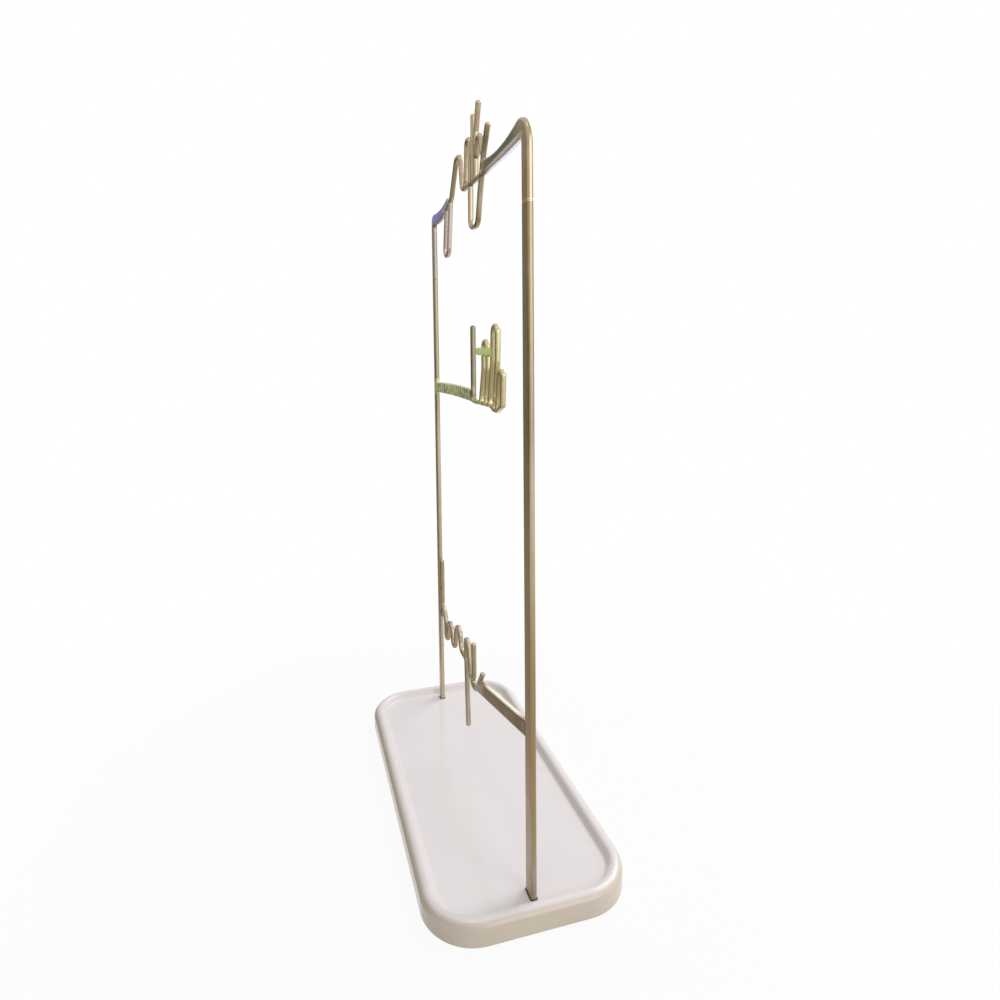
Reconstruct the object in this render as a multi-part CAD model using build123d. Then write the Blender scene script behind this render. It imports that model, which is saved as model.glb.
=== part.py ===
from build123d import *
import os
from math import atan2, hypot, tan

# Jewellery stand: a glazed tray, two flat-bar posts and three scrolled bars to hang things on.
# Millimetres, +Z up, origin at the middle of the footprint, on the ground.
# +X runs along the tray to the right post, and the front of the frame faces -Y.

os.makedirs("parts", exist_ok=True)

# Tray
tray_length = 258.0
tray_width = 125.0
tray_corner = 32.0
tray_height = 14.2
rim_width = 6.2
rim_outer_round = 5.0
rim_inner_round = 1.2
wall_run = 3.8
dish_depth = 4.3
cove_round = 3.0
hem_round = 1.2
foot_ring_width = 9.0
recess_depth = 4.0
recess_round = 1.5

# Rubber feet under the tray
foot_diameter = 14.0
foot_drop = 0.8
foot_inset = 18.0
foot_edge = 0.6

# Posts, of flat bar
left_bar_width = 6.2
right_bar_width = 10.0
bar_thickness = 3.7
edge_round = 1.4
post_inset = 16.3
seam_break = 0.25

# Seat of each post in the tray
pocket_depth = 3.0
sleeve_wall = 0.6
stud_diameter = 3.0
stud_clearance = 0.2
stud_end = 0.4
stud_root = 1.0
washer_diameter = 9.0
washer_thickness = 0.8
nut_across_flats = 5.5
nut_height = 2.4

# Flat tongues that plug the sections of the frame together
tongue_width = 3.6
tongue_thickness = 1.6
tongue_reach = 8.0
tongue_gap = 0.1
tongue_end_gap = 0.5

# Strips of the scrolled bars, cut from plate as thick as the posts
strip_width = 3.1
strip_bend = 6.5
inner_corner_round = 0.7
outer_corner_round = 1.5
root_round = 2.5
run_share = 0.48
cut_margin = 4.0

# Bottom bar: its lowest line above the ground, and what rises or drops from there
bottom_height = 76.0
bottom_root = 14.0
bottom_tall_peg = 62.2
bottom_shoulder = 24.0
bottom_step = 21.0
bottom_first_arch = 18.0
bottom_second_arch = 25.8
bottom_third_arch = 27.0
bottom_second_dip = 4.2
bottom_third_dip = 10.8
bottom_fourth_dip = 4.0
bottom_peg = 31.2
bottom_hook = 19.6
bottom_drop = 39.5
bottom_band_depth = 9.8
bottom_band_climb = 28.2
bottom_band_lip = 1.0

# Middle bar: the foot of its hub above the ground, and what rises from there
middle_height = 284.0
hub_height = 13.5
middle_band_foot = 2.6
middle_band_depth = 9.2
middle_band_bow = 0.4
middle_band_taper = 2.0
middle_ease = 0.6
middle_line = 4.0
middle_dip = 1.8
middle_root = 1.0
middle_waist = 0.6
middle_peg = 54.2
middle_first_arch = 44.6
middle_second_arch = 54.2
middle_end_arch = 26.5
middle_brace = 38.0
middle_brace_depth = 5.0

# Top bar: its base line above the ground, and what rises or drops from there
top_height = 435.6
right_shoulder = 12.4
right_shoulder_round = 15.0
right_band_start = 8.0
right_band_top = 6.3
right_band_foot = 1.2
right_band_root = 1.4
left_shoulder = 0.8
left_shoulder_round = 8.0
left_band_foot = 9.3
left_band_end = 2.4
left_band_rise = 3.2
top_first_arch = 25.7
top_second_arch = 30.4
top_first_peg = 42.0
top_second_peg = 46.9
top_second_peg_bend = 30.0
top_leaning_peg = 27.1
top_lean_low = 10.0
top_lean_high = 13.0
top_small_arch = 25.4
top_small_arch_root = 15.0
top_dip = 1.0
drop_root = 2.0
long_drop = 39.8
short_drop = 30.0
right_leg = 33.1
left_leg = 54.1

# Heights and places that follow from the sizes above
tray_top = foot_drop + tray_height
floor_height = tray_top - dish_depth
recess_ceiling = foot_drop + recess_depth
pocket_bottom = floor_height - pocket_depth
washer_bottom = recess_ceiling - washer_thickness
nut_bottom = washer_bottom - nut_height
post_x = tray_length / 2 - post_inset
left_inner = left_bar_width / 2 - post_x
left_outer = -left_bar_width / 2 - post_x
right_inner = post_x - right_bar_width / 2
right_outer = post_x + right_bar_width / 2
half_thickness = bar_thickness / 2
hub_top = middle_height + hub_height
left_seam = top_height - left_leg
right_seam = top_height - right_leg
sides = {"left": (-1, left_bar_width), "right": (1, right_bar_width)}


def save(solid, node):
    """Write one piece to its own file, under the name of its node."""
    solid.label = node
    export_step(solid, f"parts/{node}.step")


def upright(outline, low, high):
    """A flat outline raised between two heights."""
    return extrude(Pos(0, 0, low) * outline, amount=high - low)


def edges_at(solid, height):
    """The edges of a solid that lie level at a height."""
    return solid.edges().filter_by_position(Axis.Z, height - 0.001, height + 0.001)


def tray_outline(inset):
    """The tray's outline, drawn in by an inset."""
    return RectangleRounded(
        tray_length - 2 * inset, tray_width - 2 * inset, tray_corner - inset
    )


def make_tray():
    """The tray: a slab with a dished top, a rolled rim, a recess below and a pocket for each post."""
    slab = upright(tray_outline(0), foot_drop, tray_top)
    slab = fillet(edges_at(slab, foot_drop), hem_round)
    floor = Pos(0, 0, floor_height) * tray_outline(rim_width + wall_run)
    mouth = Pos(0, 0, tray_top) * tray_outline(rim_width)
    dish = loft([floor, mouth], ruled=True)
    tray = slab - fillet(edges_at(dish, floor_height), cove_round)
    rim = tray.faces().sort_by(Axis.Z)[-1]
    tray = fillet(rim.outer_wire().edges(), rim_outer_round)
    rim = tray.faces().sort_by(Axis.Z)[-1]
    tray = fillet(rim.inner_wires()[0].edges(), rim_inner_round)

    recess = upright(tray_outline(foot_ring_width), foot_drop, recess_ceiling)
    tray -= fillet(edges_at(recess, recess_ceiling), recess_round)
    for sign, width in sides.values():
        pocket = upright(sleeve_outline(width), pocket_bottom, tray_top)
        hole = Cylinder(stud_diameter / 2 + stud_clearance, 2 * tray_height)
        tray -= Pos(sign * post_x) * (pocket + hole)
    return tray


def bar_outline(width):
    """The section of a post."""
    return RectangleRounded(width, bar_thickness, edge_round)


def sleeve_outline(width):
    """The outline of the pocket that holds a post and its sleeve."""
    return RectangleRounded(
        width + 2 * sleeve_wall, bar_thickness + 2 * sleeve_wall, edge_round + sleeve_wall
    )


def make_sleeve(width):
    """The rubber lining between a post and its pocket."""
    return upright(sleeve_outline(width) - bar_outline(width), pocket_bottom, floor_height)


def slot(low, high):
    """The room that a tongue needs between two heights."""
    return upright(
        Rectangle(tongue_width + 2 * tongue_gap, tongue_thickness + 2 * tongue_gap), low, high
    )


def slot_below(end):
    """The slot in the top end of a bar, on whose floor a tongue stands."""
    return slot(end - tongue_reach, end + cut_margin)


def slot_above(end):
    """The slot in the lower end of a bar that comes down over a tongue."""
    return slot(end - cut_margin, end + tongue_reach + tongue_end_gap)


def make_tongue(low_end, high_end):
    """A flat tongue that reaches past two bar ends."""
    return upright(
        Rectangle(tongue_width, tongue_thickness), low_end - tongue_reach, high_end + tongue_reach
    )


def make_post(width, low, high):
    """A length of flat bar, its ends broken, with a slot in its top end."""
    post = upright(bar_outline(width), low, high)
    post = chamfer(edges_at(post, low) + edges_at(post, high), seam_break)
    return post - slot_below(high)


def make_foot_post(width, high):
    """A post that stands in the tray, with a welded stud below."""
    stud_low = nut_bottom - stud_end
    stud = upright(Circle(stud_diameter / 2), stud_low, pocket_bottom + stud_root)
    return make_post(width, pocket_bottom, high) + stud


def bend_room(before, corner, after):
    """The largest radius that the two straight runs at a corner have room for."""
    run_in = (corner[0] - before[0], corner[1] - before[1])
    run_out = (after[0] - corner[0], after[1] - corner[1])
    turn = atan2(
        run_in[0] * run_out[1] - run_in[1] * run_out[0],
        run_in[0] * run_out[0] + run_in[1] * run_out[1],
    )
    return run_share * min(hypot(*run_in), hypot(*run_out)) / tan(abs(turn) / 2)


def strip(*points):
    """A strip of even width along bent runs, with round ends."""
    corners = range(1, len(points) - 1)
    radii = [min(strip_bend, bend_room(*points[i - 1 : i + 2])) for i in corners]
    path = FilletPolyline(*points, radius=radii) if radii else Line(*points)
    outline = trace(path, strip_width)
    for end in (points[0], points[-1]):
        outline += Pos(*end) * Circle(strip_width / 2)
    return outline


def block(x_low, x_high, z_low, z_high):
    """A rectangle in the frame's plane."""
    centre = Pos((x_low + x_high) / 2, (z_low + z_high) / 2)
    return centre * Rectangle(x_high - x_low, z_high - z_low)


def band(lower, upper):
    """A broad strip between two curves, each given by its two ends and a point between them."""
    low_edge = ThreePointArc(*lower)
    high_edge = ThreePointArc(*upper)
    return make_face([low_edge, Line(lower[2], upper[2]), high_edge, Line(upper[0], lower[0])])


def leg(inner, outer, seam, top, corner):
    """The head of a post, from below its seam to its rounded outer corner."""
    corner_x = outer - corner if outer > inner else outer + corner
    square = block(*sorted((corner_x, outer)), top - corner, top)
    quarter = (Pos(corner_x, top - corner) * Circle(corner)) & square
    return block(*sorted((inner, outer)), seam - cut_margin, top - corner) + quarter


def plate(outline):
    """The solid of a scrolled bar: its outline eased at every corner, and its edges rounded."""
    eased = offset(offset(outline, amount=inner_corner_round), amount=-inner_corner_round)
    eased = offset(offset(eased, amount=-outer_corner_round), amount=outer_corner_round)
    solid = extrude(Plane.XZ * eased, amount=half_thickness, both=True)
    faces = solid.faces().filter_by(Axis.Y)
    return fillet(faces.edges(), edge_round)


def cut_away(solid, x_low, x_high, z_low, z_high):
    """A bar without what lies between two places along the frame and two heights."""
    return solid - extrude(
        Plane.XZ * block(x_low, x_high, z_low, z_high), amount=bar_thickness, both=True
    )


def across(share):
    """A place along the frame: a share of the way from its middle to the middle of a post."""
    return share * post_x


def make_bottom_bar():
    """The low bar: a peg and a row of scrolls, then a band that climbs to the right post."""
    def at(share, rise):
        return (across(share), bottom_height + rise)

    root = strip(at(-1.04, bottom_root), at(-0.927, bottom_root))
    tall_peg = strip(at(-0.927, bottom_root), at(-0.927, bottom_tall_peg))
    row = strip(
        at(-0.927, bottom_shoulder), at(-0.861, bottom_step), at(-0.818, bottom_root),
        at(-0.816, 0), at(-0.759, 0),
        at(-0.719, bottom_first_arch), at(-0.630, bottom_first_arch),
        at(-0.599, bottom_second_dip), at(-0.541, bottom_second_dip),
        at(-0.479, bottom_second_arch), at(-0.395, bottom_second_arch),
        at(-0.368, bottom_third_dip), at(-0.225, bottom_third_dip),
    )
    drop = strip(
        at(-0.203, -bottom_drop), at(-0.237, bottom_third_arch), at(-0.177, bottom_third_arch),
        at(-0.120, bottom_fourth_dip), at(-0.047, bottom_fourth_dip), at(-0.045, bottom_peg),
    )
    hook = strip(
        at(-0.098, bottom_fourth_dip), at(-0.062, 0), at(0.012, 0), at(0.155, bottom_hook),
    )
    slope_edge = Polyline(
        at(0.03, bottom_band_lip), at(1.0, bottom_band_climb),
        at(1.0, bottom_band_climb + bottom_band_depth),
        at(0.15, bottom_band_depth + bottom_fourth_dip),
        close=True,
    )
    slope = make_face(slope_edge)
    solid = plate(root + tall_peg + row + drop + hook + slope)
    solid = cut_away(solid, right_inner, right_outer + cut_margin, 0, middle_height)
    return cut_away(solid, left_outer - cut_margin, left_inner, 0, middle_height)


def make_middle_bar():
    """The arm on the left post: a hub, a band, and a comb of pegs and arches at its free end."""
    def at(share, rise):
        return (across(share), middle_height + rise)

    hub = block(left_outer, left_inner, middle_height - cut_margin, hub_top + cut_margin)
    band_top = middle_band_foot + middle_band_depth
    arm = band(
        (
            at(-1.0, edge_round),
            at(-0.38, middle_band_foot + middle_band_bow),
            at(0.03, middle_band_foot),
        ),
        (
            at(-1.0, band_top - middle_band_taper),
            at(-0.38, band_top),
            at(0.03, band_top - middle_ease),
        ),
    )
    peg = strip(at(0.028, middle_line), at(0.030, middle_peg))
    base = strip(
        at(-0.04, middle_line + middle_root), at(0.06, middle_line - middle_ease), at(0.40, middle_line),
        at(0.462, middle_dip), at(0.515, middle_dip), at(0.60, middle_line + middle_dip),
    )
    first_arch = strip(
        at(0.200, middle_line), at(0.262, middle_waist * middle_first_arch),
        at(0.266, middle_first_arch), at(0.340, middle_first_arch),
        at(0.346, middle_waist * middle_first_arch), at(0.302, middle_line),
    )
    second_arch = strip(
        at(0.368, middle_line), at(0.436, middle_waist * middle_second_arch),
        at(0.452, middle_second_arch), at(0.528, middle_second_arch),
        at(0.518, middle_waist * middle_second_arch), at(0.466, middle_dip),
    )
    end_arch = strip(
        at(0.510, middle_dip), at(0.568, middle_end_arch),
        at(0.618, middle_end_arch), at(0.602, middle_line + middle_dip),
    )
    brace_low = middle_height + middle_brace - middle_brace_depth / 2
    brace = block(across(0.132), across(0.44), brace_low, brace_low + middle_brace_depth)
    solid = plate(hub + arm + peg + base + first_arch + second_arch + end_arch + brace)
    root = left_inner + outer_corner_round
    solid = cut_away(solid, left_outer - cut_margin, root, hub_top, top_height)
    solid = cut_away(solid, left_outer - cut_margin, root, 0, middle_height)
    solid = chamfer(edges_at(solid, middle_height) + edges_at(solid, hub_top), seam_break)
    return solid - Pos(-post_x) * slot(middle_height - cut_margin, hub_top + cut_margin)


def make_top_bar():
    """The shoulder piece: two legs, two bands, and scrolls, drops and pegs between them."""
    def at(share, rise):
        return (across(share), top_height + rise)

    shoulder_top = top_height + right_shoulder
    right_head = leg(right_inner, right_outer, right_seam, shoulder_top, right_shoulder_round)
    shoulder_low = shoulder_top - right_shoulder_round
    right_head -= block(
        right_outer - right_shoulder_round, right_inner, shoulder_low, top_height + right_band_root
    )
    right_band = band(
        (at(0.30, -right_band_foot), at(0.58, -right_band_foot), at(1.0, right_band_root)),
        (
            at(0.30, right_band_start),
            at(0.60, right_band_top),
            (right_outer - right_shoulder_round, shoulder_top),
        ),
    )
    left_head = leg(
        left_inner, left_outer, left_seam, top_height - left_shoulder, left_shoulder_round
    )
    left_band = band(
        (at(-1.0, -left_band_foot), at(-0.74, -left_band_foot), at(-0.50, -left_band_end)),
        (
            (left_outer + left_shoulder_round, top_height - left_shoulder),
            at(-0.72, -left_shoulder),
            at(-0.53, left_band_rise),
        ),
    )
    shoulders = right_head + right_band + left_head + left_band
    shoulders = offset(offset(shoulders, amount=root_round), amount=-root_round)

    scrolls = strip(
        at(-0.56, 0), at(-0.465, -top_dip), at(-0.31, top_first_arch), at(-0.21, top_first_arch),
        at(-0.17, 0), at(-0.08, 0),
        at(-0.053, top_second_arch), at(0.022, top_second_arch),
        at(0.013, -short_drop), at(0.169, -short_drop),
        at(0.222, -top_lean_low), at(0.303, top_lean_high), at(0.380, top_leaning_peg),
    )
    drop = strip(
        at(-0.590, -drop_root), at(-0.661, -long_drop), at(-0.550, -long_drop), at(-0.484, -drop_root),
    )
    base = strip(at(-0.08, 0), at(0.32, 0))
    first_peg = strip(at(0.080, 0), at(0.093, top_first_peg))
    second_peg = strip(at(0.130, 0), at(0.148, top_second_peg_bend), at(0.203, top_second_peg))
    small_arch = strip(
        at(0.160, top_small_arch_root), at(0.190, top_small_arch),
        at(0.245, top_small_arch), at(0.275, top_lean_high),
    )
    solid = plate(shoulders + scrolls + drop + base + first_peg + second_peg + small_arch)
    for inner, outer, seam in (
        (left_inner, left_outer, left_seam), (right_inner, right_outer, right_seam)
    ):
        middle = (inner + outer) / 2
        solid = cut_away(solid, middle - 2 * root_round, middle + 2 * root_round, 0, seam)
        solid = chamfer(edges_at(solid, seam), seam_break)
        solid -= Pos(middle) * slot_above(seam)
    return solid


def make_foot():
    """A rubber foot, from the ground up to the recess of the tray."""
    foot = upright(Circle(foot_diameter / 2), 0, recess_ceiling)
    return fillet(edges_at(foot, 0), foot_edge)


def make_washer():
    """The washer under the tray, round a post's stud."""
    ring = Circle(washer_diameter / 2) - Circle(stud_diameter / 2 + stud_clearance)
    return upright(ring, washer_bottom, recess_ceiling)


def make_nut():
    """The nut on a post's stud."""
    outline = RegularPolygon(nut_across_flats / 2, 6, major_radius=False)
    return upright(outline - Circle(stud_diameter / 2), nut_bottom, washer_bottom)


def main():
    """Build every piece and write it out."""
    save(make_tray(), "tray")
    save(make_bottom_bar(), "bottom_bar")
    save(make_middle_bar(), "middle_bar")
    save(make_top_bar(), "top_bar")

    at_left = Pos(-post_x)
    at_right = Pos(post_x)
    left_upper = make_post(left_bar_width, hub_top, left_seam) - slot_above(hub_top)
    save(at_left * make_foot_post(left_bar_width, middle_height), "left_post_lower")
    save(at_left * left_upper, "left_post_upper")
    save(at_right * make_foot_post(right_bar_width, right_seam), "right_post")
    save(at_left * make_tongue(middle_height, hub_top), "hub_tongue")
    save(at_left * make_tongue(left_seam, left_seam), "left_tongue")
    save(at_right * make_tongue(right_seam, right_seam), "right_tongue")

    foot_x = tray_length / 2 - foot_inset - foot_diameter / 2
    foot_y = tray_width / 2 - foot_inset - foot_diameter / 2
    for side, (sign, width) in sides.items():
        at_post = Pos(sign * post_x)
        save(at_post * make_sleeve(width), f"{side}_sleeve")
        save(at_post * make_washer(), f"{side}_washer")
        save(at_post * make_nut(), f"{side}_nut")
        save(Pos(sign * foot_x, -foot_y) * make_foot(), f"front_{side}_foot")
        save(Pos(sign * foot_x, foot_y) * make_foot(), f"back_{side}_foot")


main()
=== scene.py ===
# %% [markdown]
# A jewelry stand: a shallow white glazed tray, two upright flat bars, and three scrolled bars to hang
# things on. The posts and the scrolled bars are cut from metal and plated in a satin champagne gold.
# The engineering model gives every piece its place and size, and this lesson dresses it: it remakes
# the tray as a smooth surface, and gives each piece the finish that a maker gave it, with some light
# and shade painted into it. Everything is in metres, with +Z up and +X along the tray.

from math import cos, pi, radians, sin

import bpy
import numpy as np
from mathutils import Matrix, Vector


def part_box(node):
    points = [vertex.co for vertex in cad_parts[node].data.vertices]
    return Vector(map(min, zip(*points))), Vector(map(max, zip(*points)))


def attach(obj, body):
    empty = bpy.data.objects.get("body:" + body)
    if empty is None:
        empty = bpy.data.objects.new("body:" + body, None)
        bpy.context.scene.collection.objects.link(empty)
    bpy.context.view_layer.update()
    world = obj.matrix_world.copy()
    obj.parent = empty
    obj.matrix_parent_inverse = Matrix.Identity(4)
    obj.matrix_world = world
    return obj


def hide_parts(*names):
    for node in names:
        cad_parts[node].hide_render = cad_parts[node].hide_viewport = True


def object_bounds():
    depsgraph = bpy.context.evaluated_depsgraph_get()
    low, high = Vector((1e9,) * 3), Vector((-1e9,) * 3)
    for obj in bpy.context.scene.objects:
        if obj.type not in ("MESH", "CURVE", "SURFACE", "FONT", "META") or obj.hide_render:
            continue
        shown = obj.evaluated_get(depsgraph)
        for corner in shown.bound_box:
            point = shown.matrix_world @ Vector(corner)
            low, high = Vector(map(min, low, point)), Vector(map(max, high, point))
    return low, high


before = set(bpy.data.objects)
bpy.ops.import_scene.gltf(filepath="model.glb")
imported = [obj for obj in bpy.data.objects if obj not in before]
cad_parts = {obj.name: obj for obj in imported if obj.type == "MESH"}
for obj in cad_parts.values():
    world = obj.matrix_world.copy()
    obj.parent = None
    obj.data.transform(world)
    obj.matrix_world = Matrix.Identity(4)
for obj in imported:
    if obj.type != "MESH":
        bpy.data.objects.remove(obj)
cad_box = [[float(v) for v in corner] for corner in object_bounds()]
MM = 0.001
low, high = (np.array(corner) for corner in cad_box)
print("stand, mm:", np.round((high - low) / MM, 1))

# %% [markdown]
# A colour is easiest to note as the hex code of a paint card, while light is added up in linear
# values. One function turns the first into the second, so every colour below is written as a
# person would pick it. A material is a tree of nodes, so another function adds a node with its
# settings and links.

# %% Colours, nodes and objects
def linear(code):
    """Hex colour to linear light: each channel c becomes ((c + 0.055) / 1.055) ** 2.4, or c / 12.92."""
    values = np.array([int(code[i:i + 2], 16) for i in (1, 3, 5)]) / 255
    light = np.where(values > 0.04045, ((values + 0.055) / 1.055) ** 2.4, values / 12.92)
    return (*light.tolist(), 1.0)


def new_material(name):
    """An empty material, its node tree and its Principled shader."""
    material = bpy.data.materials.new(name)
    material.use_nodes = True
    return material, material.node_tree, material.node_tree.nodes["Principled BSDF"]


def add(tree, kind, links=None, **settings):
    """Add a node: settings are its properties or the values of its sockets, links feed its sockets."""
    node = tree.nodes.new(kind)
    for key, value in settings.items():
        if hasattr(node, key):
            setattr(node, key, value)
        else:
            node.inputs[key.replace("_", " ")].default_value = value
    for socket, source in (links or {}).items():
        tree.links.new(source, node.inputs[socket])
    return node


def put(name, data):
    """An object that shows a mesh, a lamp or a lens, linked to the scene."""
    thing = bpy.data.objects.new(name, data)
    bpy.context.collection.objects.link(thing)
    return thing


print("white in linear light:", linear("#FFFFFF"))

# %% [markdown]
# No real surface has one even tone. The finishes here drift between two tones that lie close
# together, guided by a noise. A noise seldom leaves the middle of its range, so the first tone holds
# up to TONE_START and the second from TONE_END on.

# %% A drift between two tones
TONE_START = 0.3
TONE_END = 0.7


def two_tones(tree, value, first, second):
    """A colour that goes from one tone to the other as the value goes from TONE_START to TONE_END."""
    drift = add(tree, "ShaderNodeValToRGB", {"Fac": value})
    stops = ((TONE_START, first), (TONE_END, second))
    for element, (place, code) in zip(drift.color_ramp.elements, stops):
        element.position = place
        element.color = linear(code)
    return drift.outputs["Color"]


print("tones drift from", TONE_START, "to", TONE_END)

# %% [markdown]
# The tray is fired clay under a smooth white glaze. The glaze is glossy but not a mirror, and it has
# a faint swell where it flowed. The upright outer wall is a warmer beige, a painted warm reflection,
# and the rim has a little of that too. The foot ring is left bare, because a glazed foot would stick
# to the kiln shelf. The height above the ground picks bare clay or glaze, and a number on each point
# of the mesh, which is set further down, says how much of the painted warm reflection is there.

# %% Finish of the tray: white glaze on fired clay
GLAZE_SWELL = 22 * MM
GLAZE_SWELL_HEIGHT = 0.3 * MM
GLAZE_SWELL_STRENGTH = 0.1
GLAZE_RIPPLE = 1.6 * MM
GLAZE_RIPPLE_HEIGHT = 0.03 * MM
GLAZE_RIPPLE_STRENGTH = 0.06
GLAZE_ROUGHNESS = (0.15, 0.19)
GLAZE_IOR = 1.5
CLAY_END = 0.8 * MM
GLAZE_START = 1.4 * MM
# The name of the number on each point that holds its share of painted warm reflection
PAINTED_WARMTH = "outer_wall"


def white_glaze_on_clay():
    """Smooth white glaze: soft, slightly broken reflections, a warm bare foot and a painted warm wall."""
    material, tree, shader = new_material("white_glaze_on_fired_clay")
    place = add(tree, "ShaderNodeTexCoord").outputs["Object"]
    height = add(tree, "ShaderNodeSeparateXYZ", {"Vector": place}).outputs["Z"]
    swell = add(tree, "ShaderNodeTexNoise", {"Vector": place}, Scale=1 / GLAZE_SWELL,
                Detail=3.0).outputs["Fac"]
    ripple = add(tree, "ShaderNodeTexNoise", {"Vector": place}, Scale=1 / GLAZE_RIPPLE,
                 Detail=1.0).outputs["Fac"]
    warm_share = add(tree, "ShaderNodeAttribute", attribute_name=PAINTED_WARMTH).outputs["Fac"]
    glaze = add(tree, "ShaderNodeMix", {"Factor": warm_share}, data_type="RGBA")
    # The pale pair is the glaze's white, and the beige pair is the painted warm reflection of the outer
    # wall
    tree.links.new(two_tones(tree, swell, "#E7E1E3", "#E9E3E4"), glaze.inputs["A"])
    tree.links.new(two_tones(tree, swell, "#CFC1B0", "#D5C8B8"), glaze.inputs["B"])
    glazed = add(tree, "ShaderNodeMapRange", {"Value": height}, From_Min=CLAY_END, From_Max=GLAZE_START)
    colour = add(tree, "ShaderNodeMix", data_type="RGBA")
    tree.links.new(glazed.outputs["Result"], colour.inputs["Factor"])
    tree.links.new(two_tones(tree, ripple, "#D8CCBC", "#E4DACB"), colour.inputs["A"])
    tree.links.new(glaze.outputs["Result"], colour.inputs["B"])
    tree.links.new(colour.outputs["Result"], shader.inputs["Base Color"])
    gloss = add(tree, "ShaderNodeMapRange", {"Value": swell}, From_Min=TONE_START, From_Max=TONE_END,
                To_Min=GLAZE_ROUGHNESS[0], To_Max=GLAZE_ROUGHNESS[1])
    tree.links.new(gloss.outputs["Result"], shader.inputs["Roughness"])
    broad = add(tree, "ShaderNodeBump", {"Height": swell}, Strength=GLAZE_SWELL_STRENGTH,
                Distance=GLAZE_SWELL_HEIGHT)
    fine = add(tree, "ShaderNodeBump", {"Height": ripple, "Normal": broad.outputs["Normal"]},
               Strength=GLAZE_RIPPLE_STRENGTH, Distance=GLAZE_RIPPLE_HEIGHT)
    tree.links.new(fine.outputs["Normal"], shader.inputs["Normal"])
    shader.inputs["IOR"].default_value = GLAZE_IOR
    return material


glaze = white_glaze_on_clay()
print("made", glaze.name)

# %% [markdown]
# The metal is steel bar with a champagne-gold plate, tumbled to a satin before it was lacquered.
# Such a plate reflects softly, so a post shows one broad light side and one broad dark side. It
# isn't even, and in places tints paint light into it: painted highlights, reflections and shade. A
# tint could come from an image, but here each is a box with soft edges in the piece's own
# coordinates, so it stays in its place from every side. Some tints are broken into blotches, and
# some lie on the front faces alone.

# %% A tint of painted light
TINT_EDGE = 0.45
TINT_FULL = 0.94
BLOTCH_START = 0.42
BLOTCH_END = 0.58
FRONT_START = -0.45
FRONT_END = -0.9


def tint(code, node, along, above, reach, edge=TINT_EDGE, tilt=0.0, blotch=None, front_only=False,
         diffuse_share=0.0):
    """A tint of painted light on the plate, and where it lies.

    Its middle is given by shares of a node's length and height, its reach in mm along X and up. It
    fades over the outer share of its reach that edge gives, and rises by tilt degrees towards +X. It
    may be broken into blotches of three sizes in mm, or lie on the front faces alone, and diffuse_share
    says how far it takes the metal away, so that the painted colour shows matt: 0 keeps the metal, 1
    takes it all away. A plate takes at most one tint with a diffuse share.
    """
    node_low, node_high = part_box(node)
    middle = (node_low[0] + along * (node_high[0] - node_low[0]), 0.0,
              node_low[2] + above * (node_high[2] - node_low[2]))
    return {"code": code, "middle": middle, "reach": (reach[0] * MM, 1.0, reach[1] * MM), "edge": edge,
            "tilt": radians(tilt), "blotch": blotch, "front_only": front_only, "diffuse_share": diffuse_share}


def amount_of(tree, place, made):
    """How strong a tint is at a place.

    It is 1 less the larger of |x| / reach and |z| / reach from the tint's middle, eased over its edge
    up to TINT_FULL. It is then multiplied by its blotches, and by how far the face looks to the front.
    """
    moved = add(tree, "ShaderNodeMapping", {"Vector": place}, vector_type="TEXTURE",
                Location=made["middle"], Rotation=(0, -made["tilt"], 0), Scale=made["reach"])
    apart = add(tree, "ShaderNodeVectorMath", {"Vector": moved.outputs["Vector"]}, operation="ABSOLUTE")
    away = add(tree, "ShaderNodeSeparateXYZ", {"Vector": apart.outputs["Vector"]})
    larger = add(tree, "ShaderNodeMath", {0: away.outputs["X"], 1: away.outputs["Z"]},
                 operation="MAXIMUM")
    share = add(tree, "ShaderNodeMapRange", {"Value": larger.outputs["Value"]},
                interpolation_type="SMOOTHSTEP", From_Min=1.0, From_Max=1 - made["edge"],
                To_Max=TINT_FULL)
    amount = share.outputs["Result"]
    limits = []
    if made["blotch"]:
        grid = add(tree, "ShaderNodeMapping", {"Vector": place}, vector_type="POINT",
                   Scale=[1 / (size * MM) for size in made["blotch"]])
        spots = add(tree, "ShaderNodeTexNoise", {"Vector": grid.outputs["Vector"]},
                    Scale=1.0, Detail=1.0)
        limits.append((spots.outputs["Fac"], BLOTCH_START, BLOTCH_END))
    if made["front_only"]:
        normal = add(tree, "ShaderNodeTexCoord").outputs["Normal"]
        facing = add(tree, "ShaderNodeSeparateXYZ", {"Vector": normal})
        limits.append((facing.outputs["Y"], FRONT_START, FRONT_END))
    for value, start, end in limits:
        limit = add(tree, "ShaderNodeMapRange", {"Value": value}, interpolation_type="SMOOTHSTEP",
                    From_Min=start, From_Max=end)
        product = add(tree, "ShaderNodeMath", {0: amount, 1: limit.outputs["Result"]},
                      operation="MULTIPLY")
        amount = product.outputs["Value"]
    return amount


print("a tint covers up to", TINT_FULL, "of the plate's own tone")

# %% [markdown]
# One function makes the plate and lays the tints of painted light over it, each over the last. The
# roughness drifts over a centimetre or two, with a fine grain. Where a tint has a diffuse share, the
# surface is less metallic, so that it shows its painted colour and mirrors less.

# %% The satin plate
PLATE_DRIFT = 14 * MM
PLATE_ROUGHNESS = 0.38
ROUGHNESS_DRIFT = 0.05
# A tumbled grain is under a tenth of a millimetre, and is drawn coarser so that it shows
PLATE_GRAIN = 0.35 * MM
PLATE_GRAIN_HEIGHT = 0.03 * MM
PLATE_GRAIN_STRENGTH = 0.12


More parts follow.
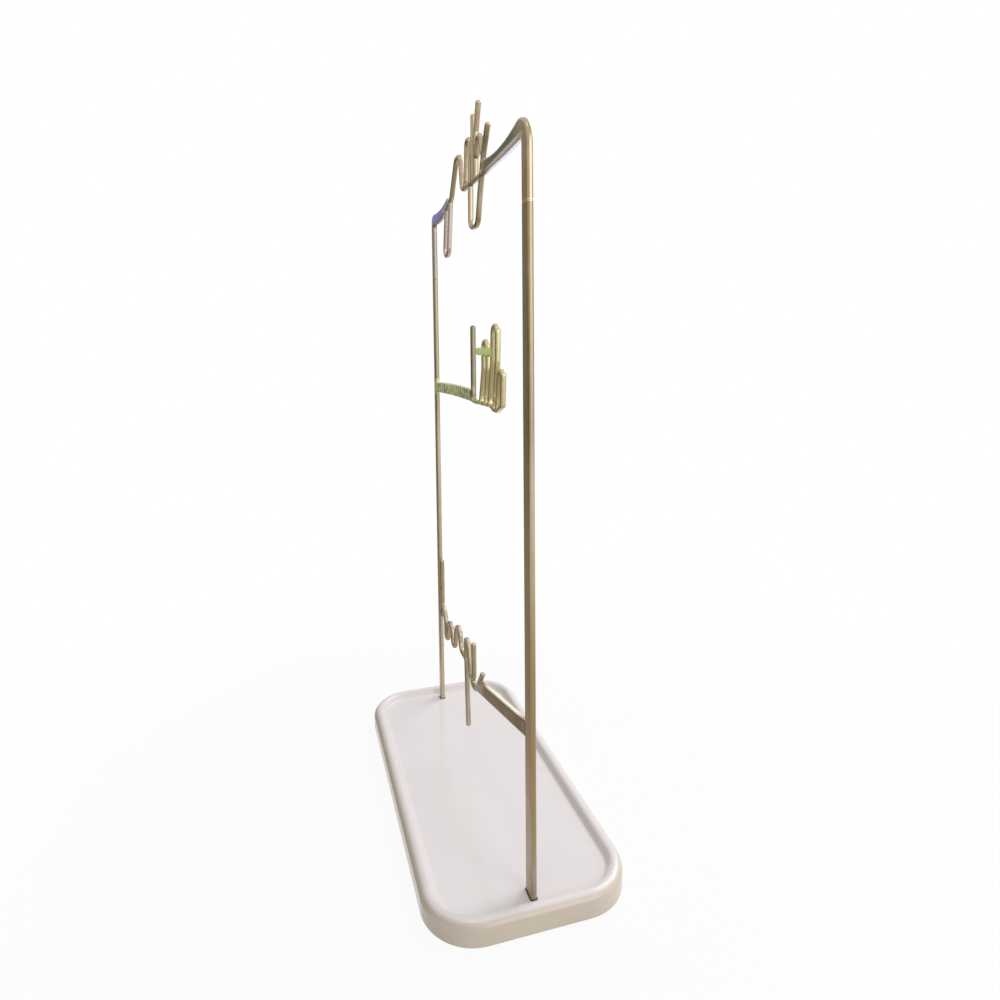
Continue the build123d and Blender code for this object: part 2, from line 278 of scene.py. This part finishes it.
def satin_gold_plate(name, tones, tints, roughness=PLATE_ROUGHNESS):
    """Satin gold: broad soft reflections, and tints of painted light one over another."""
    material, tree, shader = new_material(name)
    place = add(tree, "ShaderNodeTexCoord").outputs["Object"]
    drift = add(tree, "ShaderNodeTexNoise", {"Vector": place}, Scale=1 / PLATE_DRIFT,
                Detail=3.0).outputs["Fac"]
    grain = add(tree, "ShaderNodeTexNoise", {"Vector": place}, Scale=1 / PLATE_GRAIN,
                Detail=2.0).outputs["Fac"]
    colour = two_tones(tree, drift, *tones)
    shader.inputs["Metallic"].default_value = 1.0
    for made in tints:
        amount = amount_of(tree, place, made)
        mix = add(tree, "ShaderNodeMix", {"Factor": amount}, data_type="RGBA")
        tree.links.new(colour, mix.inputs["A"])
        mix.inputs["B"].default_value = linear(made["code"])
        colour = mix.outputs["Result"]
        # A diffuse share makes the metal matt there, so that a painted reflection shows as flat colour
        if made["diffuse_share"]:
            bare = add(tree, "ShaderNodeMapRange", {"Value": amount}, To_Min=1.0,
                       To_Max=1 - made["diffuse_share"])
            tree.links.new(bare.outputs["Result"], shader.inputs["Metallic"])
    tree.links.new(colour, shader.inputs["Base Color"])
    satin = add(tree, "ShaderNodeMapRange", {"Value": drift}, From_Min=TONE_START, From_Max=TONE_END,
                To_Min=roughness - ROUGHNESS_DRIFT, To_Max=roughness + ROUGHNESS_DRIFT)
    tree.links.new(satin.outputs["Result"], shader.inputs["Roughness"])
    bump = add(tree, "ShaderNodeBump", {"Height": grain}, Strength=PLATE_GRAIN_STRENGTH,
               Distance=PLATE_GRAIN_HEIGHT)
    tree.links.new(bump.outputs["Normal"], shader.inputs["Normal"])
    return material


print("plate grain, mm:", PLATE_GRAIN / MM)

# %% [markdown]
# The plate came out a little different on each bar, so each has its own two tones, and each has its
# own tints of painted light. The near post is the warmer of the two and the far one the greyer, the
# comb of the middle bar is the palest, and a painted highlight marks the seam where the top section
# is plugged onto the near post.

# %% Plates of the posts and bars
NEAR_POST_TONES = ("#98886A", "#A7977A")
FAR_POST_TONES = ("#978C75", "#A3977F")
LOW_BAR_TONES = ("#A99B85", "#BAAD97")
TOP_BAR_TONES = ("#A4957B", "#B7A88F")
COMB_TONES = ("#BDB48A", "#CBC298")
TOP_BAR_ROUGHNESS = 0.32
# A painted highlight: a thin pale line at the seam on top of the near post, on both pieces there
SEAM_HIGHLIGHT = tint("#D8CAAC", "right_post", 0.5, 1.0, (30, 0.9))

near_post_plate = satin_gold_plate("satin_gold_plate_on_right_post", NEAR_POST_TONES, [
    # Painted reflections: the near post lighter over its lower part, lightest halfway up, paler at the
    # foot
    tint("#B7A486", "right_post", 0.5, 0.30, (30, 170), edge=0.3),
    tint("#C5B69C", "right_post", 0.5, 0.535, (30, 70), edge=0.9),
    tint("#B3A48F", "right_post", 0.5, 0.0, (30, 90), edge=0.6),
    SEAM_HIGHLIGHT,
])
far_post_plate = satin_gold_plate("satin_gold_plate_on_left_post", FAR_POST_TONES, [
    # A painted reflection: the far post lighter over its lower part
    tint("#C1B19D", "left_post_lower", 0.5, 0.40, (30, 170), edge=0.3),
])
bottom_plate = satin_gold_plate("satin_gold_plate_on_low_bar", LOW_BAR_TONES, [
    # A painted dark reflection on the face of the band
    tint("#8A7240", "bottom_bar", 0.80, 0.54, (46, 30), edge=0.2),
    # A painted highlight along the band's rounded top edge
    tint("#FFF8E6", "bottom_bar", 0.79, 0.632, (50, 0.9), tilt=14.2),
])
top_plate = satin_gold_plate("satin_gold_plate_on_top_bar", TOP_BAR_TONES, [
    # A painted violet reflection on the left band's front faces, partly matt
    tint("#7B80E6", "top_bar", 0.119, 0.475, (30, 12), edge=0.2, front_only=True, diffuse_share=0.6),
    # A painted grey reflection on the leg at the far end
    tint("#918D80", "top_bar", 0.013, 0.2, (6, 28)),
    # A painted rosy reflection on the long drop
    tint("#C4B6B3", "top_bar", 0.215, 0.27, (15, 30)),
    # A painted dark reflection on the right band
    tint("#6C6964", "top_bar", 0.79, 0.56, (38, 22)),
    # A painted highlight streak along the right band
    tint("#F4EFFF", "top_bar", 0.817, 0.531, (40, 2.3), tilt=3),
    SEAM_HIGHLIGHT,
], roughness=TOP_BAR_ROUGHNESS)
middle_plate = satin_gold_plate("satin_gold_plate_on_middle_bar", COMB_TONES, [
    # Painted green reflections on the arm's front: pale lime, with mottled green over it
    tint("#EBF6C4", "middle_bar", 0.336, 0.11, (60, 20), edge=0.2, front_only=True),
    tint("#9CAA6C", "middle_bar", 0.336, 0.11, (60, 20), edge=0.2, blotch=(3.5, 6, 5),
         front_only=True),
    # A painted lime reflection on the brace, made fully matt
    tint("#E4FF9C", "middle_bar", 0.795, 0.682, (19.5, 2.9), edge=0.15, front_only=True, diffuse_share=1),
    # Painted shade: a dark strip down one peg
    tint("#837E6B", "middle_bar", 0.638, 0.60, (5, 36), edge=0.3),
    # Painted highlights: cream patches along the comb's base
    tint("#EFE6BE", "middle_bar", 0.80, 0.10, (40, 9), blotch=(7, 7, 6)),
])
print("made", near_post_plate.name, far_post_plate.name, bottom_plate.name, top_plate.name,
      middle_plate.name)

# %% [markdown]
# The small parts are mostly what the tray hides: moulded dark rubber sleeves that line the pockets of
# the posts, milky rubber feet, and zinc-plated steel washers, nuts and tongues. The sleeves show as a
# thin dark line round the foot of each post, which is partly painted shade of the gap there. All have
# plain finishes, each with its own grain.

# %% Finishes of the small parts
RUBBER_SKIN = 0.5 * MM
RUBBER_SKIN_HEIGHT = 0.05 * MM
RUBBER_SKIN_STRENGTH = 0.2
RUBBER_ROUGHNESS = 0.7
ZINC_DRIFT = 1.5 * MM
ZINC_ROUGHNESS = (0.25, 0.45)


def moulded_rubber(name, dark, light):
    """Moulded rubber: nearly matt, with a faint skin from the mould."""
    material, tree, shader = new_material(name)
    place = add(tree, "ShaderNodeTexCoord").outputs["Object"]
    skin = add(tree, "ShaderNodeTexNoise", {"Vector": place}, Scale=1 / RUBBER_SKIN,
               Detail=3.0).outputs["Fac"]
    tree.links.new(two_tones(tree, skin, dark, light), shader.inputs["Base Color"])
    bump = add(tree, "ShaderNodeBump", {"Height": skin}, Strength=RUBBER_SKIN_STRENGTH,
               Distance=RUBBER_SKIN_HEIGHT)
    tree.links.new(bump.outputs["Normal"], shader.inputs["Normal"])
    shader.inputs["Roughness"].default_value = RUBBER_ROUGHNESS
    return material


def zinc_plated_steel():
    """Zinc plate on steel: cool grey, softly shiny, with a drift in its gloss."""
    material, tree, shader = new_material("zinc_plate_on_steel")
    place = add(tree, "ShaderNodeTexCoord").outputs["Object"]
    drift = add(tree, "ShaderNodeTexNoise", {"Vector": place}, Scale=1 / ZINC_DRIFT,
                Detail=3.0).outputs["Fac"]
    tree.links.new(two_tones(tree, drift, "#A9ACB0", "#C3C6C9"), shader.inputs["Base Color"])
    gloss = add(tree, "ShaderNodeMapRange", {"Value": drift}, To_Min=ZINC_ROUGHNESS[0],
                To_Max=ZINC_ROUGHNESS[1])
    tree.links.new(gloss.outputs["Result"], shader.inputs["Roughness"])
    shader.inputs["Metallic"].default_value = 1.0
    return material


# The sleeves' dark tone is partly painted shade: their edge gives the dark line in the gap at each post's
# foot
dark_rubber_and_gap_shade = moulded_rubber("moulded_dark_rubber_and_gap_shade", "#3A332A", "#474035")
milky_rubber = moulded_rubber("moulded_milky_rubber", "#CFCEC8", "#DCDBD6")
zinc = zinc_plated_steel()
print("made", dark_rubber_and_gap_shade.name, milky_rubber.name, zinc.name)

# %% [markdown]
# The tray could be a block with rounded edges, but the real one was pressed in a mould and
# glazed, so its section is all soft curves: a bare foot ring, a wall that rolls over into the rim,
# a cove and a flat floor. It is one profile carried round a rounded rectangle. A point of the
# surface is a point of the inner rectangle that joins the corner centres, plus the outward
# direction times the corner radius less the profile's inset. Where the inset passes the corner
# radius, the rings shrink towards the middle instead, and the last one closes in a single point.

# %% The outline that the tray's profile is carried round
ALONG_STRAIGHT = 28
ALONG_CORNER = 24
TRAY_CORNER = 32 * MM
CORNER_SIGNS = [(1, 1), (-1, 1), (-1, -1), (1, -1)]
tray_low, tray_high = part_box("tray")
tray_half = (np.array(tray_high) - np.array(tray_low))[:2] / 2


def corner_path():
    """The inner rectangle's points and outward directions: corner k turns from 90k to 90k + 90 degrees."""
    inner = tray_half - TRAY_CORNER
    spine = []
    facing = []
    for k, sign in enumerate(CORNER_SIGNS):
        turn = (k + np.linspace(0, 1, ALONG_CORNER)) * pi / 2
        spine.append(np.tile(inner * sign, (ALONG_CORNER, 1)))
        facing.append(np.stack([np.cos(turn), np.sin(turn)], axis=1))
        step = np.linspace(0, 1, ALONG_STRAIGHT + 2)[1:-1, None]
        following = inner * CORNER_SIGNS[(k + 1) % 4]
        spine.append(inner * sign * (1 - step) + following * step)
        facing.append(np.tile([np.cos(turn[-1]), np.sin(turn[-1])], (ALONG_STRAIGHT, 1)))
    return np.concatenate(spine), np.concatenate(facing)


def bend(centre, radius, start, end, count):
    """Points on an arc of a profile: centre plus radius times (cos a, sin a), in degrees."""
    angle = np.radians(np.linspace(start, end, count))
    return np.stack([centre[0] + radius * np.cos(angle), centre[1] + radius * np.sin(angle)], axis=1)


spine, facing = corner_path()
print("points round the tray:", len(spine))

# %% [markdown]
# The profile runs from the middle of the underside, round the outside, to the middle of the floor. It
# is a row of arcs, and the mesh joins the end of each to the start of the next. An arc of radius r
# that rounds a corner where the line turns by an angle a starts r * tan(a / 2) before that corner,
# which places the inner round of the rim and the cove at the two ends of the slope.

# %% The profile of the tray
RIM_WIDTH = 6.8 * MM
RIM_OUTER_ROUND = 5.0 * MM
RIM_INNER_ROUND = 3.5 * MM
WALL_RUN = 3.2 * MM
DISH_DEPTH = 4.3 * MM
COVE_ROUND = 2.0 * MM
FLOOR_EDGE = 2.0 * MM
HEM_ROUND = 1.2 * MM
FOOT_RING = 9.0 * MM
FOOT_EDGE = 0.3 * MM
RECESS_DEPTH = 4.0 * MM
RECESS_ROUND = 1.5 * MM
tray_foot = tray_low[2]
tray_top = tray_high[2]
floor_level = tray_top - DISH_DEPTH
recess_level = tray_foot + RECESS_DEPTH


def tray_profile():
    """Insets and heights of the section: recess, foot ring, wall, rim, cove and floor."""
    slope = np.arctan2(DISH_DEPTH, WALL_RUN)
    rim_run = RIM_INNER_ROUND * np.tan(slope / 2)
    cove_run = COVE_ROUND * np.tan(slope / 2)
    cove_end = RIM_WIDTH + WALL_RUN + cove_run
    lean = 90 - np.degrees(slope)
    parts = [
        [(TRAY_CORNER, recess_level)],
        bend((FOOT_RING + RECESS_ROUND, recess_level - RECESS_ROUND), RECESS_ROUND, 90, 180, count=6),
        [(FOOT_RING, tray_foot)],
        [(FOOT_RING - FOOT_EDGE, tray_foot)],
        bend((HEM_ROUND, tray_foot + HEM_ROUND), HEM_ROUND, 270, 180, count=7),
        bend((RIM_OUTER_ROUND, tray_top - RIM_OUTER_ROUND), RIM_OUTER_ROUND, 180, 90, count=18),
        bend((RIM_WIDTH - rim_run, tray_top - RIM_INNER_ROUND), RIM_INNER_ROUND, 90, lean, count=7),
        bend((cove_end, floor_level + COVE_ROUND), COVE_ROUND, 180 + lean, 270, count=10),
        [(cove_end + FLOOR_EDGE, floor_level)],
        [(TRAY_CORNER, floor_level)],
    ]
    return np.concatenate([np.array(part) for part in parts])


profile = tray_profile()
print("points on the profile:", len(profile), "top at mm", round(profile[:, 1].max() / MM, 2))

# %% [markdown]
# The grid has one row for each point of the profile and one column for each point of the outline.
# It becomes a mesh of quads, closed round its columns, and each open end is closed by a ring that
# shrinks to a point, which is safe here because both ends are flat.

# %% Grids to meshes
POLE_RINGS = (0.35, 0.7)
SHARP_ANGLE = 35


def grid_faces(rows, columns):
    """Quads of a grid closed along its columns: corners (r, c), (r, c + 1), (r + 1, c + 1), (r + 1, c)."""
    index = np.arange(rows * columns).reshape(rows, columns)
    beside = np.roll(index, -1, axis=1)
    return np.stack([index[:-1], beside[:-1], beside[1:], index[1:]], axis=-1).reshape(-1, 4)


def closed_surface(name, rings):
    """A closed mesh from rings of points, with a pole at the middle of the first and last ring."""
    rows, columns, _ = rings.shape
    points = np.concatenate([rings.reshape(-1, 3), rings[0].mean(0)[None], rings[-1].mean(0)[None]])
    first = np.arange(columns)
    last = first + (rows - 1) * columns
    start = [(int(b), int(a), rows * columns) for a, b in zip(first, np.roll(first, -1))]
    end = [(int(a), int(b), rows * columns + 1) for a, b in zip(last, np.roll(last, -1))]
    mesh = bpy.data.meshes.new(name)
    mesh.from_pydata(points.tolist(), [], grid_faces(rows, columns).tolist() + start + end)
    mesh.validate()
    return mesh


def smooth(mesh):
    """Shade smooth, with an edge kept sharp where its two faces turn by more than SHARP_ANGLE."""
    mesh.polygons.foreach_set("use_smooth", np.ones(len(mesh.polygons), dtype=bool))
    mesh.set_sharp_from_angle(angle=radians(SHARP_ANGLE))
    mesh.update()


def tray_rings():
    """Rings of the tray: spine + facing * (corner - inset), then rings shrunk towards the middle."""
    run = (TRAY_CORNER - profile[:, 0])[:, None, None]
    flat = spine[None] + facing[None] * run
    tall = np.repeat(profile[:, 1][:, None, None], len(spine), axis=1)
    body = np.concatenate([flat, tall], axis=2)
    shrink = np.array(POLE_RINGS)[:, None, None]
    under = body[0][None] * np.concatenate([shrink, shrink, np.ones_like(shrink)], axis=2)
    over = body[-1][None] * np.concatenate([shrink[::-1], shrink[::-1], np.ones_like(shrink)], axis=2)
    return np.concatenate([under, body, over])


tray = put("glazed_tray", closed_surface("glazed_tray", tray_rings()))
print("tray faces:", len(tray.data.polygons))

# %% [markdown]
# Each post stands in a pocket of the tray, lined with a rubber sleeve, and its stud goes on down
# through a hole. The pockets are cut with Boolean modifiers, one for each cutter, and the result is
# kept as a plain mesh. The cutters are rounded prisms made by the same ring function.

# %% The pockets and holes under the posts
RING_CORNER_POINTS = 10
STUD_HOLE = 1.7 * MM
POCKET_CORNER = 2.0 * MM
CUT_PAST = 1.0 * MM
# A corner just under the half width keeps the ring's neighbouring points apart
NEARLY_ROUND = 0.999


def rounded_ring(centre, half, radius):
    """A rounded rectangle in the plane: corner centre plus radius times the outward direction."""
    quarter = np.linspace(0, 1, RING_CORNER_POINTS)
    turns = np.concatenate([(k + quarter) * pi / 2 for k in range(4)])
    signs = np.repeat(CORNER_SIGNS, RING_CORNER_POINTS, axis=0)
    return np.array(centre) + signs * (np.array(half) - radius) + radius * np.stack(
        [np.cos(turns), np.sin(turns)], axis=1)


def prism(name, ring, low_level, high_level):
    """A closed prism: the ring at the two levels."""
    levels = np.array([low_level, high_level])[:, None, None] * np.ones((1, len(ring), 1))
    return closed_surface(name, np.concatenate([np.repeat(ring[None], 2, axis=0), levels], axis=2))


def cut(piece, cutter_mesh):
    """Take the cutter out of a piece, and keep the result as the piece's mesh."""
    cutter = put("cutter", cutter_mesh)
    boolean = piece.modifiers.new("cut", "BOOLEAN")
    boolean.object = cutter
    boolean.solver = "EXACT"
    graph = bpy.context.evaluated_depsgraph_get()
    result = bpy.data.meshes.new_from_object(piece.evaluated_get(graph))
    piece.modifiers.clear()
    piece.data = result
    bpy.data.objects.remove(cutter)


for side in ("left", "right"):
    sleeve_low, sleeve_high = (np.array(corner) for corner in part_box(f"{side}_sleeve"))
    middle = (sleeve_low + sleeve_high) / 2
    pocket = rounded_ring(middle[:2], (sleeve_high - sleeve_low)[:2] / 2, POCKET_CORNER)
    cut(tray, prism("pocket", pocket, sleeve_low[2], tray_top + CUT_PAST))
    hole = rounded_ring(middle[:2], (STUD_HOLE, STUD_HOLE), STUD_HOLE * NEARLY_ROUND)
    cut(tray, prism("hole", hole, 0.0, sleeve_high[2] - CUT_PAST))
print("tray faces with its pockets:", len(tray.data.polygons))

# %% [markdown]
# The outer wall gets all of the painted warm reflection, the rim a little of it and the floor none.
# How far in a point lies from the outside tells these apart, so that distance becomes a number on
# each point of the mesh, which the finish reads.

# %% How much painted warm reflection each point of the tray gets
WALL_WARMTH_END = 1.2 * MM
RIM_WARMTH_START = 3.0 * MM
RIM_WARMTH_END = 8.0 * MM
FLOOR_WARMTH_START = 10.5 * MM
RIM_WARM_SHARE = 0.15


def paint_warm_reflection(mesh):
    """Painted warm reflection at each point: 1 on the wall, RIM_WARM_SHARE on the rim, 0 on the floor.

    It changes in straight steps between these. The way in from a rounded rectangle is its corner
    radius, less the length of the part of |p| - (half - corner) that is above zero, less its largest
    part where both are below zero.
    """
    points = np.empty(len(mesh.vertices) * 3)
    mesh.vertices.foreach_get("co", points)
    beyond = np.abs(points.reshape(-1, 3)[:, :2]) - (tray_half - TRAY_CORNER)
    way_out = np.hypot(*np.maximum(beyond, 0).T) + np.minimum(beyond.max(axis=1), 0)
    insets = [WALL_WARMTH_END, RIM_WARMTH_START, RIM_WARMTH_END, FLOOR_WARMTH_START]
    warm_share = np.interp(TRAY_CORNER - way_out, insets, [1, RIM_WARM_SHARE, RIM_WARM_SHARE, 0])
    mesh.attributes.new(PAINTED_WARMTH, "FLOAT", "POINT").data.foreach_set("value", warm_share)


paint_warm_reflection(tray.data)
smooth(tray.data)
tray.data.materials.clear()
tray.data.materials.append(glaze)
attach(tray, "stand")
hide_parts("tray")
print("the tray wears", tray.data.materials[0].name)

# %% [markdown]
# The posts, the scrolled bars and the small parts keep the shapes of the engineering model, which
# has their rounded edges already. Each gets its finish by name.

# %% Dress the pieces that keep their shape
FINISHES = {
    "left_post_lower": far_post_plate, "left_post_upper": far_post_plate,
    "right_post": near_post_plate,
    "top_bar": top_plate, "middle_bar": middle_plate, "bottom_bar": bottom_plate,
    "hub_tongue": zinc, "left_tongue": zinc, "right_tongue": zinc,
    "left_washer": zinc, "right_washer": zinc, "left_nut": zinc, "right_nut": zinc,
    "left_sleeve": dark_rubber_and_gap_shade, "right_sleeve": dark_rubber_and_gap_shade,
    "front_left_foot": milky_rubber, "front_right_foot": milky_rubber,
    "back_left_foot": milky_rubber, "back_right_foot": milky_rubber,
}
for node, finish in FINISHES.items():
    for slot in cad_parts[node].material_slots:
        slot.material = finish
print("dressed", len(FINISHES), "pieces")

# %% [markdown]
# The stand is shown in a bright, even room against white. The floor and the world are white to the
# camera and in reflections, and light the stand at a plain level. The floor keeps a little of its
# shading close to the stand, so that the tray's shadow stays, and fades to plain white further off.

# %% Floor and world
FLOOR_WIDTH = 12.0
SHADOW_SHARE = 0.07
SHADOW_NEAR = 0.16
SHADOW_FAR = 0.5
MATT = 0.9
AMBIENT = 0.62


def seen_directly(tree):
    """One where a ray comes from the camera or from a glossy or clear surface, else zero."""
    path = add(tree, "ShaderNodeLightPath")
    first = add(tree, "ShaderNodeMath",
                {0: path.outputs["Is Camera Ray"], 1: path.outputs["Is Glossy Ray"]},
                operation="MAXIMUM")
    both = add(tree, "ShaderNodeMath",
               {0: first.outputs["Value"], 1: path.outputs["Is Transmission Ray"]},
               operation="MAXIMUM")
    return both.outputs["Value"]


def white_floor():
    """A pale floor that reads as white, and keeps a share of its own light and shadow."""
    material, tree, shader = new_material("white_paper_floor")
    shader.inputs["Base Color"].default_value = linear("#DEDEDE")
    shader.inputs["Roughness"].default_value = MATT
    glow = add(tree, "ShaderNodeEmission", Color=(1, 1, 1, 1), Strength=1.0)
    place = add(tree, "ShaderNodeTexCoord").outputs["Object"]
    away = add(tree, "ShaderNodeVectorMath", {"Vector": place}, operation="LENGTH")
    fade = add(tree, "ShaderNodeMapRange", {"Value": away.outputs["Value"]},
               interpolation_type="SMOOTHSTEP", From_Min=SHADOW_NEAR, From_Max=SHADOW_FAR,
               To_Min=1 - SHADOW_SHARE)
    share = add(tree, "ShaderNodeMath", {0: seen_directly(tree), 1: fade.outputs["Result"]},
                operation="MULTIPLY")
    mix = add(tree, "ShaderNodeMixShader", {"Fac": share.outputs["Value"], 1: shader.outputs["BSDF"],
                                            2: glow.outputs["Emission"]})
    tree.links.new(mix.outputs["Shader"], tree.nodes["Material Output"].inputs["Surface"])
    return material


def flat_sheet(name, width, height, material):
    """A flat rectangle round the origin, with one face: corners at plus and minus half its sides."""
    x, y = width / 2, height / 2
    mesh = bpy.data.meshes.new(name)
    mesh.from_pydata([(-x, -y, 0), (x, -y, 0), (x, y, 0), (-x, y, 0)], [], [(0, 1, 2, 3)])
    mesh.materials.append(material)
    return mesh


floor = put("floor", flat_sheet("floor", FLOOR_WIDTH, FLOOR_WIDTH, white_floor()))

world = bpy.data.worlds.new("bright_room")
bpy.context.scene.world = world
world.use_nodes = True
sky = world.node_tree
background = sky.nodes["Background"]
background.inputs["Color"].default_value = (1, 1, 1, 1)
strength = add(sky, "ShaderNodeMapRange", {"Value": seen_directly(sky)}, To_Min=AMBIENT, To_Max=1.0)
sky.links.new(strength.outputs["Result"], background.inputs["Strength"])
print("ambient light:", AMBIENT)

# %% [markdown]
# A large soft lamp stands high at the back, a weaker one behind the camera, and a small weak one
# hangs overhead. Two dark boards on the left give the metal its dark side, as a photographer's black
# flags do, and both light and reflections see them. Two more lie flat just above the floor, and only
# reflections see them, so they tone the metal without shading the tray. The camera sees no board.

# %% Lamps and dark boards
STAND_MIDDLE = (0, 0, 0.22)
BOARD_LIFT = 2.0 * MM


def aim(thing, place, target):
    """Turn a lamp or board at a place so that its -Z looks at the target."""
    turned = (Vector(target) - Vector(place)).to_track_quat("-Z", "Y")
    thing.matrix_world = Matrix.Translation(place) @ turned.to_matrix().to_4x4()


def soft_lamp(name, place, width, height, power):
    """A soft lamp that looks at the stand: an area light with its sides in metres, in watts."""
    data = bpy.data.lights.new(name, "AREA")
    data.shape = "RECTANGLE"
    data.size = width
    data.size_y = height
    data.energy = power
    aim(put(name, data), place, STAND_MIDDLE)


def dark_board(name, place, target, width, height, code, only_mirrored=False):
    """A board that the camera doesn't see: light and reflections see it, or reflections alone."""
    material, tree, shader = new_material(name)
    shader.inputs["Base Color"].default_value = linear(code)
    shader.inputs["Roughness"].default_value = MATT
    board = put(name, flat_sheet(name, width, height, material))
    aim(board, place, target)
    board.visible_camera = False
    board.visible_diffuse = not only_mirrored
    board.visible_shadow = not only_mirrored


soft_lamp("high_lamp", (-0.5, 1.3, 1.5), width=1.2, height=1.2, power=17)
soft_lamp("camera_side_lamp", (1.6, 0.7, 0.7), width=0.9, height=1.2, power=7.8)
soft_lamp("overhead_lamp", (0.25, -0.1, 1.3), width=0.22, height=0.22, power=0.8)
dark_board("left_board", (-0.9, -0.75, 0.35), STAND_MIDDLE, 1.3, 1.1, "#A1977C")
dark_board("low_left_board", (0.1, -0.7, 0.2), STAND_MIDDLE, 1.0, 0.4, "#6C675D")
dark_board("mirrored_back_board", (-0.8, -0.67, BOARD_LIFT), (-0.8, -0.67, 1), 1.8, 1.2, "#9A9077",
           only_mirrored=True)
dark_board("mirrored_front_board", (0.75, 0.15, BOARD_LIFT), (0.75, 0.15, 1), 1.2, 0.9, "#CDC1AA",
           only_mirrored=True)

# %% [markdown]
# The camera stands at the right end of the stand, a little above its middle, and looks along it.
# Its place and its three turns were solved from the outline of the tray and the posts. The
# photograph was trimmed off-centre after it was taken, which the lens shift repeats.

# %% Camera
PHOTO_SIDE = 1000
FOCAL_PIXELS = 674.596
CENTRE_PIXEL = (476.39, 397.147)
CAMERA_PLACE = (454.71 * MM, -127.45 * MM, 329.9 * MM)
AZIMUTH, ELEVATION, ROLL = radians(74.004), radians(4.872), radians(-0.70)
SENSOR_WIDTH = 36
NEAREST_SEEN = 0.01

ahead = Vector((-sin(AZIMUTH) * cos(ELEVATION), cos(AZIMUTH) * cos(ELEVATION), -sin(ELEVATION)))
level_right = Vector((cos(AZIMUTH), sin(AZIMUTH), 0))
level_up = level_right.cross(ahead)
right = level_right * cos(ROLL) + level_up * sin(ROLL)
up = level_up * cos(ROLL) - level_right * sin(ROLL)
lens = bpy.data.cameras.new("camera")
lens.sensor_width = SENSOR_WIDTH
lens.lens = SENSOR_WIDTH * FOCAL_PIXELS / PHOTO_SIDE
lens.shift_x = 0.5 - CENTRE_PIXEL[0] / PHOTO_SIDE
lens.shift_y = CENTRE_PIXEL[1] / PHOTO_SIDE - 0.5
lens.clip_start = NEAREST_SEEN
camera = put("camera", lens)
turn = Matrix((right, up, -ahead)).transposed().to_4x4()
camera.matrix_world = Matrix.Translation(CAMERA_PLACE) @ turn
bpy.context.scene.camera = camera
bpy.context.scene.view_settings.view_transform = "Standard"
print("lens, mm:", round(lens.lens, 2))
